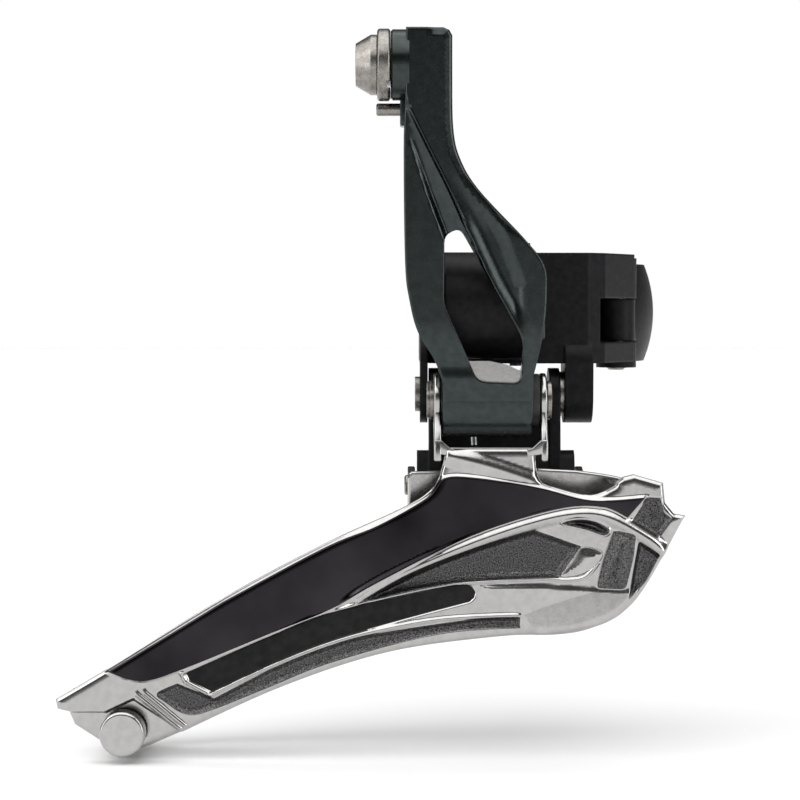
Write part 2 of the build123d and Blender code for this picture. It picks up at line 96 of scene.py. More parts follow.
def new_tree(name: str) -> tuple[bpy.types.Material, bpy.types.NodeTree, bpy.types.Node]:
    """Makes an empty node material.

    Args:
        name: the material's name.

    Returns:
        The material, its node tree and its Principled shader.
    """
    material = bpy.data.materials.new(name)
    material.use_nodes = True
    tree = material.node_tree
    return material, tree, tree.nodes["Principled BSDF"]


def noise(tree: bpy.types.NodeTree, scale: float, detail: float = 4.0) -> bpy.types.NodeSocket:
    """Adds a noise texture in object space.

    Args:
        tree: the node tree to add it to.
        scale: features per metre.
        detail: octaves of noise.

    Returns:
        The noise's factor output.
    """
    coordinates = tree.nodes.new("ShaderNodeTexCoord")
    texture = tree.nodes.new("ShaderNodeTexNoise")
    texture.inputs["Scale"].default_value = scale
    texture.inputs["Detail"].default_value = detail
    tree.links.new(coordinates.outputs["Object"], texture.inputs["Vector"])
    return texture.outputs["Fac"]


def spread(
    tree: bpy.types.NodeTree, factor: bpy.types.NodeSocket, low: float, high: float
) -> bpy.types.NodeSocket:
    """Maps a noise's useful middle, 0.3 to 0.7, onto low to high.

    Args:
        tree: the node tree.
        factor: the value to map.
        low: the result at 0.3.
        high: the result at 0.7.

    Returns:
        The mapped value.
    """
    mapper = tree.nodes.new("ShaderNodeMapRange")
    mapper.inputs["From Min"].default_value = 0.3
    mapper.inputs["From Max"].default_value = 0.7
    mapper.inputs["To Min"].default_value = low
    mapper.inputs["To Max"].default_value = high
    tree.links.new(factor, mapper.inputs["Value"])
    return mapper.outputs["Result"]


@dataclass(frozen=True)
class MetalFinish:
    """Bare or coated metal with grain.

    Attributes:
        name: material name.
        low: darker colour of the mottling.
        high: lighter colour of the mottling.
        metallic: 1 for bare metal, 0 for a paint film.
        rough: lowest and highest roughness.
        grain: mottling features per metre.
        bump: height of the fine surface texture, in millimetres.
        bump_scale: texture features per metre.
        specular: strength of the gloss on a paint film.
        edge: radius of the softened edges in millimetres, 0 for none.
    """

    name: str
    low: tuple[float, float, float]
    high: tuple[float, float, float]
    metallic: float = 1.0
    rough: tuple[float, float] = (0.2, 0.3)
    grain: float = 400.0
    bump: float = 0.0
    bump_scale: float = 3000.0
    specular: float = 0.5
    edge: float = 0.0

    def make(self) -> bpy.types.Material:
        """Builds the material's nodes and returns it."""
        material, tree, shader = new_tree(self.name)
        factor = noise(tree, self.grain)
        ramp = tree.nodes.new("ShaderNodeValToRGB")
        ramp.color_ramp.elements[0].position = 0.35
        ramp.color_ramp.elements[1].position = 0.65
        ramp.color_ramp.elements[0].color = (*self.low, 1.0)
        ramp.color_ramp.elements[1].color = (*self.high, 1.0)
        tree.links.new(factor, ramp.inputs["Fac"])
        tree.links.new(ramp.outputs["Color"], shader.inputs["Base Color"])
        roughness = spread(tree, noise(tree, self.grain * 2.3), *self.rough)
        tree.links.new(roughness, shader.inputs["Roughness"])
        shader.inputs["Metallic"].default_value = self.metallic
        shader.inputs["Specular IOR Level"].default_value = self.specular
        normal = None
        if self.edge:
            bevel = tree.nodes.new("ShaderNodeBevel")
            bevel.samples = 6
            bevel.inputs["Radius"].default_value = self.edge * MM
            normal = bevel.outputs["Normal"]
        if self.bump:
            bump = tree.nodes.new("ShaderNodeBump")
            bump.inputs["Distance"].default_value = self.bump * MM
            tree.links.new(noise(tree, self.bump_scale, 2.0), bump.inputs["Height"])
            if normal:
                tree.links.new(normal, bump.inputs["Normal"])
            normal = bump.outputs["Normal"]
        if normal:
            tree.links.new(normal, shader.inputs["Normal"])
        return material


POLISHED = MetalFinish(
    "polished_nickel", (0.39, 0.385, 0.378), (0.43, 0.425, 0.418), rough=(0.14, 0.22), grain=900, bump=0.003
)
# Painted dark reflection: the outer plate is bright chrome, and this dark colour paints its dark reflections
# into the cast-textured panels; the bumpy texture itself is real.
CAST_TEXTURE_PAINTED_REFLECTION = MetalFinish(
    "cast_texture_painted_dark_reflection", (0.020, 0.019, 0.021), (0.15, 0.147, 0.148), rough=(0.20, 0.38), grain=5200,
    bump=0.12, bump_scale=4200,
)
# Painted dark reflection: the chrome outer plate's dark reflections are painted into this glossy black
# colour.
GLOSS_PAINTED_REFLECTION = MetalFinish(
    "gloss_painted_dark_reflection", (0.009, 0.0085, 0.010), (0.034, 0.031, 0.034), rough=(0.10, 0.15), grain=45,
    bump=0.002,
)
# Painted dark reflection: the chrome outer plate's dark reflection along the strip is painted into this matt
# black colour.
MATTE_PAINTED_REFLECTION = MetalFinish(
    "matte_painted_dark_reflection", (0.006, 0.006, 0.006), (0.012, 0.012, 0.012), metallic=0.0, rough=(0.40, 0.52),
    grain=800, bump=0.01, specular=0.15,
)
DARK_ANODISED = MetalFinish(
    "dark_anodised", (0.036, 0.043, 0.042), (0.046, 0.054, 0.053), rough=(0.20, 0.28), grain=900, bump=0.005
)
BLACK_PAINT = MetalFinish(
    "black_satin_paint", (0.006, 0.006, 0.007), (0.011, 0.011, 0.012), metallic=0.0, rough=(0.34, 0.44),
    grain=900, bump=0.012, specular=0.10, edge=0.5,
)
STEEL = MetalFinish(
    "plain_steel", (0.20, 0.19, 0.175), (0.28, 0.265, 0.245), rough=(0.24, 0.36), grain=1400, bump=0.008,
    edge=0.15,
)
SPRING = MetalFinish("spring_steel", (0.20, 0.20, 0.21), (0.30, 0.30, 0.31), rough=(0.25, 0.35), grain=1500)
BLACK_STEEL = MetalFinish(
    "black_oxide_steel", (0.03, 0.03, 0.03), (0.06, 0.06, 0.06), rough=(0.3, 0.4), grain=1200, edge=0.15
)
RESIN = MetalFinish(
    "black_resin", (0.012, 0.012, 0.012), (0.02, 0.02, 0.02), metallic=0.0, rough=(0.5, 0.6), grain=900,
    edge=0.1,
)

_made: dict[str, bpy.types.Material] = {}


def finish(kind: MetalFinish) -> bpy.types.Material:
    """Returns the finish's material, making it the first time."""
    if kind.name not in _made:
        _made[kind.name] = kind.make()
    return _made[kind.name]


# ---------------------------------------------------------------- shapes


def inside(outline: Sequence[Point], x: Array, z: Array) -> Array:
    """Tells which points lie inside a closed outline.

    Args:
        outline: its corners in order.
        x: the points' first coordinate.
        z: the points' second coordinate.

    Returns:
        A boolean array.
    """
    result = np.zeros(len(x), bool)
    for (x0, z0), (x1, z1) in zip(outline, [*outline[1:], outline[0]]):
        crosses = (z0 > z) != (z1 > z)
        if z1 != z0:
            result ^= crosses & (x < (x1 - x0) * (z - z0) / (z1 - z0) + x0)
    return result


def distance(line: Sequence[Point], x: Array, z: Array, closed: bool = True) -> Array:
    """Distance from each point to a run of straight edges.

    Args:
        line: the run's corners.
        x: the points' first coordinate.
        z: the points' second coordinate.
        closed: whether the last corner joins the first.

    Returns:
        The distances.
    """
    best = np.full(len(x), 1e9)
    ends = [*line[1:], line[0]] if closed else line[1:]
    for (x0, z0), (x1, z1) in zip(line, ends):
        dx, dz = x1 - x0, z1 - z0
        length = dx * dx + dz * dz + 1e-12
        t = np.clip(((x - x0) * dx + (z - z0) * dz) / length, 0, 1)
        best = np.minimum(best, np.hypot(x - x0 - t * dx, z - z0 - t * dz))
    return best


def signed(outline: Sequence[Point], x: Array, z: Array) -> Array:
    """Distance to a closed outline, positive inside it."""
    away = distance(outline, x, z)
    return np.where(inside(outline, x, z), away, -away)


def ease(value: Array, width: float) -> Array:
    """Rises smoothly from 0 to 1 as value goes from -width/2 to width/2."""
    t = np.clip(value / width + 0.5, 0, 1)
    return t * t * (3 - 2 * t)


def ridge(line: Sequence[Point], x: Array, z: Array, half: float) -> Array:
    """Rounded rib along an open line, 1 at its crest and 0 at half its width."""
    t = np.clip(distance(line, x, z, closed=False) / half, 0, 1)
    return (1 - t * t) ** 2


def smooth_run(points: Sequence[Point], per: int = 6, closed: bool = False) -> Outline:
    """Draws a Catmull-Rom curve through points.

    Args:
        points: the points it passes.
        per: divisions of each span.
        closed: whether the run comes back to its start.

    Returns:
        The divided curve.
    """
    count = len(points)
    spans = count if closed else count - 1
    result: Outline = []
    for i in range(spans):
        if closed:
            p = [np.array(points[(i + k) % count]) for k in (-1, 0, 1, 2)]
        else:
            p = [np.array(points[min(max(i + k, 0), count - 1)]) for k in (-1, 0, 1, 2)]
        for s in range(per):
            t = s / per
            point = 0.5 * (
                2 * p[1] + (p[2] - p[0]) * t + (2 * p[0] - 5 * p[1] + 4 * p[2] - p[3]) * t**2
                + (3 * p[1] - p[0] - 3 * p[2] + p[3]) * t**3
            )
            result.append((float(point[0]), float(point[1])))
    if not closed:
        result.append((float(points[-1][0]), float(points[-1][1])))
    return result


def divided(line: Sequence[Point], step: float, closed: bool = True) -> Outline:
    """Splits each edge of a run into pieces no longer than step."""
    ends = [*line[1:], line[0]] if closed else line[1:]
    result: Outline = []
    for (x0, z0), (x1, z1) in zip(line, ends):
        count = max(1, math.ceil(math.hypot(x1 - x0, z1 - z0) / step))
        result += [(x0 + (x1 - x0) * i / count, z0 + (z1 - z0) * i / count) for i in range(count)]
    if not closed:
        result.append(tuple(line[-1]))
    return result


def rounded(outline: Sequence[Point], radius: float, per: int = 5) -> Outline:
    """Rounds every corner of a closed outline by up to radius."""
    count = len(outline)
    result: Outline = []
    for i in range(count):
        before, here, after = (np.array(outline[(i + k) % count]) for k in (-1, 0, 1))
        reach = min(radius, 0.45 * np.linalg.norm(before - here), 0.45 * np.linalg.norm(after - here))
        first = here + (before - here) / np.linalg.norm(before - here) * reach
        last = here + (after - here) / np.linalg.norm(after - here) * reach
        for s in range(per + 1):
            t = s / per
            point = (1 - t) ** 2 * first + 2 * t * (1 - t) * here + t**2 * last
            result.append((float(point[0]), float(point[1])))
    return result


@dataclass
class Panel:
    """Area of a pressed face with a finish of its own.

    Attributes:
        outline: its closed outline.
        finish: the finish inside it.
    """

    outline: Outline
    finish: MetalFinish


@dataclass
class Relief:
    """Solid between a front and a back surface over one outline, seen along Y.

    Attributes:
        name: the piece's name.
        outline: the closed outer outline in X and Z.
        front: gives the front surface's Y.
        back: gives the back surface's Y.
        base: the finish outside every panel.
        holes: closed outlines of through holes.
        panels: areas with another finish, later ones on top.
        lines: open runs that the mesh's edges follow.
        step: spacing of the mesh.
        rims: distances beside the outlines, panels and lines at which the mesh has more points.
    """

    name: str
    outline: Outline
    front: Heights
    back: Heights
    base: MetalFinish
    holes: list[Outline] = field(default_factory=list)
    panels: list[Panel] = field(default_factory=list)
    lines: list[Outline] = field(default_factory=list)
    step: float = 0.45
    rims: tuple[float, ...] = (0.12, 0.3, 0.55)

    def mesh_points(self) -> tuple[list[Point], list[tuple[int, int]]]:
        """Gathers the points and fixed edges of the face.

        Returns:
            The points, and pairs of their numbers.
        """
        points: list[Point] = []
        edges: list[tuple[int, int]] = []
        loops = [divided(self.outline, self.step)] + [divided(h, self.step) for h in self.holes]
        for loop in loops + [divided(p.outline, self.step) for p in self.panels]:
            start = len(points)
            points += loop
            edges += [(start + i, start + (i + 1) % len(loop)) for i in range(len(loop))]
        for run in self.lines:
            run = divided(run, self.step, closed=False)
            edges += [(len(points) + i, len(points) + i + 1) for i in range(len(run) - 1)]
            points += run
        fixed = np.array(points)
        runs = [(loop, True) for loop in loops] + [(panel.outline, True) for panel in self.panels]
        runs += [(line, False) for line in self.lines]
        beside: list[Point] = []
        for number, (run, closed) in enumerate(runs):
            others = [other for k, other in enumerate(runs) if k != number]
            for away in self.rims:
                moved = self.beside(run, closed, away)
                x, z = moved[:, 0], moved[:, 1]
                clear = self.keeps(moved, 0.08) & (distance(run, x, z, closed) > 0.9 * away)
                for other, other_closed in others:
                    clear &= distance(other, x, z, other_closed) > 0.7 * away
                beside += [tuple(p) for p in moved[clear]]
        low, high = fixed.min(0), fixed.max(0)
        xs = np.arange(low[0], high[0], self.step)
        zs = np.arange(low[1], high[1], self.step)
        grid = np.array(np.meshgrid(xs, zs)).reshape(2, -1).T
        grid[:, 0] += np.where(np.round((grid[:, 1] - low[1]) / self.step) % 2 == 0, 0, self.step / 2)
        grid = grid[self.keeps(grid, 0.0)]
        clear = np.ones(len(grid), bool)
        for run, closed in runs:
            clear &= distance(run, grid[:, 0], grid[:, 1], closed) > self.rims[-1] + 0.5 * self.step
        return points + beside + [tuple(p) for p in grid[clear]], edges

    def beside(self, run: Outline, closed: bool, away: float) -> Array:
        """Places on both sides of a run, at one distance from it.

        Args:
            run: the run's corners.
            closed: whether its last corner joins the first.
            away: the distance.

        Returns:
            The places, one row each.
        """
        corners = np.array(divided(run, self.step, closed))
        along = np.roll(corners, -1, 0) - np.roll(corners, 1, 0)
        if not closed:
            along[0] = corners[1] - corners[0]
            along[-1] = corners[-1] - corners[-2]
        side = np.stack([-along[:, 1], along[:, 0]], 1)
        side /= np.linalg.norm(side, axis=1, keepdims=True) + 1e-9
        return np.vstack([corners + side * away, corners - side * away])

    def keeps(self, places: Array, away: float) -> Array:
        """Tells which places lie in the face, at least away from its edges."""
        x, z = places[:, 0], places[:, 1]
        kept = signed(self.outline, x, z) > away
        for hole in self.holes:
            kept &= signed(hole, x, z) < -away
        return kept

    def normals(self, x: Array, z: Array) -> Array:
        """Unit normals of the front surface, from its slopes."""
        small = 0.03
        slope_x = (self.front(x + small, z) - self.front(x - small, z)) / (2 * small)
        slope_z = (self.front(x, z + small) - self.front(x, z - small)) / (2 * small)
        result = np.stack([slope_x, -np.ones(len(x)), slope_z], 1)
        return result / np.linalg.norm(result, axis=1, keepdims=True)

    def build(self) -> Item:
        """Makes the piece's object, with its slots filled."""
        points, edges = self.mesh_points()
        output = delaunay_2d_cdt([Vector(p) for p in points], edges, [], 0, 1e-5)
        flat = np.array([tuple(v) for v in output[0]])
        faces = [tuple(f) for f in output[2]]
        middle = np.array([flat[list(f)].mean(0) for f in faces])
        kept = self.keeps(middle, 0.0)
        faces = [f for f, k in zip(faces, kept) if k]
        middle = middle[kept]
        count = len(flat)
        x, z = flat[:, 0], flat[:, 1]
        front = np.stack([x, self.front(x, z), z], 1)
        back = np.stack([x, self.back(x, z), z], 1)
        slots = [self.base]
        index = np.zeros(len(faces), int)
        for panel in self.panels:
            if panel.finish not in slots:
                slots.append(panel.finish)
            index[inside(panel.outline, middle[:, 0], middle[:, 1])] = slots.index(panel.finish)
        a, b, c = (flat[[f[k] for f in faces]] for k in range(3))
        area = (b[:, 0] - a[:, 0]) * (c[:, 1] - a[:, 1]) - (c[:, 0] - a[:, 0]) * (b[:, 1] - a[:, 1])
        faces = [f if s > 0 else f[::-1] for f, s in zip(faces, area)]
        used: dict[tuple[int, int], int] = {}
        for f in faces:
            for a, b in zip(f, (*f[1:], f[0])):
                used[(a, b)] = used.get((a, b), 0) + 1
        rim = [(a, b) for a, b in used if (b, a) not in used]
        polygons = list(faces) + [tuple(v + count for v in f[::-1]) for f in faces]
        polygons += [(b, a, a + count, b + count) for a, b in rim]
        mesh = bpy.data.meshes.new(self.name)
        mesh.from_pydata([tuple(v) for v in np.vstack([front, back]) * MM], [], polygons)
        for slot in slots:
            mesh.materials.append(finish(slot))
        mesh.polygons.foreach_set("material_index", [*index, *([0] * (len(faces) + len(rim)))])
        mesh.polygons.foreach_set("use_smooth", [True] * len(polygons))
        mesh.update()
        smooth = self.normals(x, z)
        loops = np.zeros((len(mesh.loops), 3))
        face_normals = np.zeros(len(polygons) * 3)
        mesh.polygons.foreach_get("normal", face_normals)
        face_normals = face_normals.reshape(-1, 3)
        for number, polygon in enumerate(mesh.polygons):
            for loop in polygon.loop_indices:
                vertex = mesh.loops[loop].vertex_index
                loops[loop] = smooth[vertex] if number < len(faces) else face_normals[number]
        mesh.normals_split_custom_set([tuple(n) for n in loops])
        item = bpy.data.objects.new(self.name, mesh)
        bpy.context.scene.collection.objects.link(item)
        bm = bmesh.new()
        bm.from_mesh(mesh)
        loose = [v for v in bm.verts if not v.link_faces]
        if loose:
            bmesh.ops.delete(bm, geom=loose, context="VERTS")
            bm.to_mesh(mesh)
        bm.free()
        return item


# ---------------------------------------------------------------- small shapes


def join(items: Sequence[Item], name: str) -> Item:
    """Joins objects into the first one and names it.

    Args:
        items: the objects.
        name: the joined object's name.

    Returns:
        The joined object.
    """
    bpy.ops.object.select_all(action="DESELECT")
    for item in items:
        item.select_set(True)
    bpy.context.view_layer.objects.active = items[0]
    bpy.ops.object.join()
    items[0].name = name
    return items[0]


def finished(name: str, bm: bmesh.types.BMesh, kind: MetalFinish, bevel: float = 0.0) -> Item:
    """Turns a mesh into an object with softened edges.

    Args:
        name: the object's name.
        bm: the mesh in millimetres, which is freed.
        kind: its finish.
        bevel: width of its bevels in millimetres.

    Returns:
        The object.
    """
    sharp = math.radians(35)
    bmesh.ops.recalc_face_normals(bm, faces=bm.faces)
    if bevel:
        edges = [e for e in bm.edges if e.calc_face_angle(0.0) > sharp]
        bmesh.ops.bevel(
            bm, geom=edges, offset=bevel, segments=3, profile=0.5, affect="EDGES", clamp_overlap=True
        )
    for vertex in bm.verts:
        vertex.co *= MM
    for face in bm.faces:
        face.smooth = True
    for edge in bm.edges:
        edge.smooth = edge.calc_face_angle(0.0) < sharp
    mesh = bpy.data.meshes.new(name)
    bm.to_mesh(mesh)
    bm.free()
    mesh.materials.append(finish(kind))
    item = bpy.data.objects.new(name, mesh)
    bpy.context.scene.collection.objects.link(item)
    return item


def across(
    axis: Axis, name: str, profile: Outline, span: Point, kind: MetalFinish, bevel: float = 0.3
) -> Item:
    """Pushes a closed profile along X or Y.

    Args:
        axis: the way it goes.
        name: the object's name.
        profile: corners in Z and in the other flat direction, which comes first.
        span: where it starts and ends.
        kind: its finish.
        bevel: width of its bevels.

    Returns:
        The object.
    """
    bm = bmesh.new()
    first, last = (
        [bm.verts.new((place, side, z) if axis is Axis.X else (side, place, z)) for side, z in profile]
        for place in span
    )
    bm.faces.new(first)
    bm.faces.new(last[::-1])
    for i in range(len(profile)):
        j = (i + 1) % len(profile)
        bm.faces.new((first[j], first[i], last[i], last[j]))
    return finished(name, bm, kind, bevel)


def arc(centre: Point, radius: float, start: float, end: float, count: int = 20) -> Outline:
    """Points of an arc between two angles in degrees."""
    return [
        (centre[0] + radius * math.cos(a), centre[1] + radius * math.sin(a))
        for a in np.radians(np.linspace(start, end, count))
    ]


def ring_x(name: str, centre: Point, section: Outline, kind: MetalFinish, around: int = 72) -> Item:
    """Turns a closed section of (X, radius) about an axis along X.

    Args:
        name: the object's name.
        centre: Y and Z of the axis.
        section: the corners, all with a radius above 0.
        kind: its finish.
        around: divisions of the circle.

    Returns:
        The object.
    """
    bm = bmesh.new()
    rings = [
        [bm.verts.new((x, y, z)) for y, z in arc(centre, radius, 0, 360 - 360 / around, around)]
        for x, radius in section
    ]
    for first, second in zip(rings, rings[1:] + rings[:1]):
        for i in range(around):
            j = (i + 1) % around
            bm.faces.new((first[i], first[j], second[j], second[i]))
    return finished(name, bm, kind)


def edge_drop(away: Array, radius: float) -> Array:
    """How far a rounded edge falls below its face, at distances away from the edge."""
    t = np.clip(radius - away, 0, radius)
    return radius - np.sqrt(np.maximum(radius**2 - t**2, 0.0))


# ---------------------------------------------------------------- cage


@dataclass
class OuterPlate:
    """Pressed outer plate of the cage, with its ears and the bridge over the chain.

    Attributes:
        face: Y of the plain front face.
        sheet: thickness of the sheet.
        rib_half: half the width of the long polished rib.
        ears: X limits of the two ears.
        pivot: Y and Z of the pin in the ears.
        ear_radius: radius of the ears' round tops.
        panel_rise: height of the gloss area.
        rib_rise: height of the long rib.
        neck_rise: height of the neck's ridge.
        fine_rise: height of the fine ribs.
        recess_depth: depth of the cast-textured recess under the long rib.
        strip_depth: depth of the matt strip.
        band_depth: depth of the cast-textured band.
        foot_depth: how far the tail's foot lies below the plain face.
        slopes: slopes of the facets above and below their crease.
    """

    face: float = -46.9
    sheet: float = 1.1
    rib_half: float = 1.5
    ears: tuple[Point, Point] = ((-18.4, -17.3), (-2.1, -1.1))
    pivot: Point = (-41.0, -13.3)
    ear_radius: float = 4.1
    panel_rise: float = 0.45
    rib_rise: float = 0.85
    neck_rise: float = 0.45
    fine_rise: float = 0.28
    recess_depth: float = 0.95
    strip_depth: float = 0.25
    band_depth: float = 0.55
    foot_depth: float = 0.95
    slopes: Point = (0.015, 0.055)

    def outline(self) -> Outline:
        """Closed outline, from the tail's tip along the top edge to the front and back underneath."""
        top = smooth_run([
            (-76.3, -59.0), (-68.7, -54.5), (-50.6, -43.4), (-35.1, -35.1), (-23.6, -29.8), (-18.7, -26.7),
            (-17.2, -23.4), (-16.6, -20.4),
        ], 8)
        saddle = smooth_run([
            (-3.1, -20.4), (-2.4, -25.2), (0.6, -26.6), (5.5, -27.6), (9.0, -26.3), (9.4, -25.6)
        ], 5)
        horn = [(10.4, -24.9), (12.0, -24.5), (16.5, -25.8), (16.8, -28.8), (18.2, -30.5), (19.9, -30.8)]
        under = smooth_run([
            (19.4, -31.6), (14.0, -41.4), (10.3, -45.7), (5.4, -48.1), (0.6, -49.0), (-8.4, -49.3),
            (-25.4, -51.7),
            (-41.6, -57.0), (-57.4, -64.2),
        ], 8)
        foot = [
            (-64.2, -67.2), (-65.6, -67.45), (-66.9, -67.2), (-73.5, -63.0), (-74.4, -60.9), (-76.0, -60.4)
        ]
        return [*top, *saddle, *horn, *under, *foot]

    def main_panel(self) -> Outline:
        """Gloss area between the top edge and the long rib, coloured with a painted dark reflection."""
        lower = smooth_run([
            (-68.2, -54.6), (-63.2, -56.0), (-57.3, -54.4), (-43.4, -48.7), (-34.0, -44.9), (-27.1, -40.9),
            (-12.8, -33.8),
            (-0.2, -29.8), (6.9, -29.3), (11.0, -31.0),
        ], 6)
        upper = smooth_run([
            (13.7, -27.9), (5.5, -28.3), (-2.4, -26.4), (-12.0, -24.9), (-17.0, -25.0), (-19.6, -28.0),
            (-27.0, -32.2), (-35.0, -35.5), (-50.6, -43.85),
        ], 6)
        return [*lower, *upper]

    def rough_panel(self) -> Outline:
        """Cast-textured recess under the long rib, coloured with a painted dark reflection."""
        upper = smooth_run([(-30.3, -44.2), (-21.7, -39.2), (-11.0, -35.2), (-3.1, -32.9)], 6)
        lower = smooth_run([(0.6, -40.2), (-12.8, -40.8), (-19.9, -41.9), (-30.3, -44.2)], 6)
        return [*upper, (0.1, -34.0), (4.0, -35.4), *lower[:-1]]

    def strip(self) -> Outline:
        """Matt strip that runs along the lower half, coloured with a painted dark reflection."""
        upper = smooth_run([
            (-56.2, -54.9), (-43.4, -49.25), (-34.2, -45.6), (-17.0, -41.7), (-13.6, -41.3)
        ], 6)
        lower = smooth_run([
            (-13.0, -43.9), (-23.5, -46.7), (-34.7, -50.0), (-43.4, -53.5), (-52.3, -57.7)
        ], 6)
        return [*upper, (-12.6, -41.6), (-12.1, -42.4), (-12.3, -43.3), *lower, (-55.7, -56.0)]

    def low_band(self) -> Outline:
        """Cast-textured band along the bottom, coloured with a painted dark reflection."""
        upper = smooth_run([
            (-52.0, -58.7), (-43.4, -54.3), (-34.7, -50.8), (-27.1, -48.75), (-12.0, -46.5), (-5.3, -46.3),
        ], 6)
        lower = smooth_run([
            (-5.3, -47.85), (-17.5, -48.7), (-34.2, -53.2), (-43.4, -56.9), (-52.8, -60.6), (-56.4, -61.0),
            (-59.4, -59.2), (-60.7, -57.9), (-57.6, -56.4),
        ], 6)
        return [*upper, *lower]

    def bulge(self) -> Outline:
        """Cast-textured swelling where the chain's weight lands, coloured with a painted dark reflection."""
        return rounded([
            (9.0, -32.9), (12.3, -33.5), (12.0, -37.0), (10.8, -42.0), (6.3, -41.8), (7.2, -38.0)
        ], 0.8)

    def recess(self) -> Outline:
        """Three-sided recess in front of the swelling, coloured with a painted dark reflection."""
        return rounded([(12.7, -34.6), (16.0, -36.7), (14.0, -40.6), (11.2, -43.5), (11.9, -39.0)], 0.5)

    def horn_panel(self) -> Outline:
        """Recess beside the bridge, coloured with a painted dark reflection."""
        return [(14.0, -27.9), (16.0, -28.0), (16.6, -30.2), (17.8, -31.2), (15.6, -34.2), (11.6, -31.7)]

    def eye(self) -> Outline:
        """Small eye-shaped recess on the long rib's front end, coloured with a painted dark reflection."""
        return smooth_run([
            (1.0, -31.9), (3.4, -31.2), (6.2, -31.6), (8.2, -32.8), (7.4, -33.7), (4.6, -32.8)
        ], 4, True)

    def foot_area(self) -> Outline:
        """Area of the tail's foot, which sits lower than the rest."""
        return [
            (-75.4, -60.9), (-68.6, -60.9), (-64.4, -58.9), (-57.0, -64.0), (-62.0, -69.0), (-76.0, -66.0)
        ]

    def foot_step(self) -> Outline:
        """Line where the plate steps down to the foot."""
        return [(-74.6, -60.9), (-68.6, -60.9), (-64.4, -58.9), (-57.6, -63.5)]

    def long_rib(self) -> Outline:
        """Crest of the polished rib that sweeps from the middle to the front."""
        return smooth_run([
            (-32.6, -44.9), (-25.0, -40.4), (-14.0, -35.5), (-4.0, -32.0), (3.0, -30.5), (8.0, -31.0),
            (14.0, -34.2), (16.4, -36.2),
        ], 8)

    def neck_ridge(self) -> Outline:
        """Crest of the ridge that runs across the neck."""
        return smooth_run([(-17.0, -21.5), (-9.6, -23.4), (-3.0, -25.6), (2.0, -27.2), (6.6, -28.1)], 6)

    def thin_ribs(self) -> list[Outline]:
        """Crests of the fine ribs."""
        return [
            smooth_run([
                (-57.0, -54.8), (-43.4, -49.0), (-33.5, -45.2), (-19.9, -41.8), (-12.0, -40.9), (-2.0, -40.3),
                (1.5, -40.6), (4.6, -40.1), (6.5, -38.0),
            ], 5),
            smooth_run([
                (-52.6, -58.2), (-43.4, -53.85), (-34.7, -50.4), (-27.1, -48.3), (-17.0, -46.5),
                (-5.3, -45.9),
            ], 5),
            [(-57.0, -54.9), (-56.4, -56.1), (-52.7, -58.1)],
            [(-63.6, -58.2), (-57.2, -63.4)],
            [(-62.5, -57.9), (-56.4, -63.0)],
        ]

    def crease(self) -> Outline:
        """Line where the two facets at the lower front meet."""
        return [(-5.3, -46.0), (0.2, -44.0), (5.8, -42.3), (10.4, -42.1)]

    def facets(self) -> Outline:
        """Outline of the two facets at the lower front."""
        return [
            (-12.0, -41.2), (-2.0, -41.2), (5.8, -41.7), (13.2, -42.0), (9.6, -47.4), (-3.0, -49.6),
            (-5.5, -46.0),
        ]

    def lens(self) -> Outline:
        """Polished swelling at the front end of the rough recess."""
        return smooth_run([
            (4.1, -35.5), (7.2, -36.3), (6.3, -38.2), (3.9, -39.7), (0.9, -40.0), (2.3, -38.0)
        ], 5, True)

    def height(self, x: Array, z: Array) -> Array:
        """Height of the pressed relief over the plain face.

        Args:
            x: the points' X in millimetres.
            z: the points' Z in millimetres.

        Returns:
            The heights in millimetres.
        """
        height = self.panel_rise * ease(signed(self.main_panel(), x, z) + 0.1, 0.8)
        height += self.rib_rise * ridge(self.long_rib(), x, z, self.rib_half) * ease(x + 31.5, 4.0)
        height += self.neck_rise * ridge(self.neck_ridge(), x, z, 1.7)
        height -= self.recess_depth * ease(signed(self.rough_panel(), x, z) - 0.5, 1.3)
        height -= self.strip_depth * ease(signed(self.strip(), x, z), 0.4)
        for rib in self.thin_ribs():
            height += self.fine_rise * ridge(rib, x, z, 0.5)
        height -= self.band_depth * ease(signed(self.low_band(), x, z) - 0.3, 0.9)
        level = np.interp(x, *np.array(self.crease()).T)
        above, below = self.slopes
        valley = 0.15 + np.where(z < level, below, above) * distance(self.crease(), x, z, closed=False)
        reach = ease(signed(self.facets(), x, z) - 0.3, 0.8)
        height = height * (1 - reach) + valley * reach
        lens = signed(self.lens(), x, z)
        height = np.where(lens > 0, 0.1 + 0.35 * ease(lens - 0.8, 1.6), height)
        height += 1.1 * ease(signed(self.bulge(), x, z) - 0.9, 2.4)
        height -= 0.8 * ease(signed(self.recess(), x, z) - 0.3, 0.9)
        height -= 0.5 * ease(signed(self.horn_panel(), x, z) - 0.3, 1.0)
        eye = signed(self.eye(), x, z)
        height += 0.3 * ease(eye + 0.25, 0.5) - 0.7 * ease(eye - 0.45, 0.7)
        foot = ease(signed(self.foot_area(), x, z), 0.5)
        height = height * (1 - foot) - self.foot_depth * foot
        away = distance(self.outline(), x, z)
        height -= 0.9 * edge_drop(away, 0.5) + 0.35 * np.clip(1 - away / 1.4, 0, 1) ** 2
        return height

    def front(self, x: Array, z: Array) -> Array:
        """Y of the outboard surface."""
        return self.face - self.height(x, z)

    def back(self, x: Array, z: Array) -> Array:
        """Y of the inboard surface, which follows the pressing more softly."""
        return self.face + self.sheet - 0.6 * np.clip(self.height(x, z), -0.9, 1.0)

    def build(self) -> Item:
        """Makes the plate with its ears and bridge, in place of the plain one."""
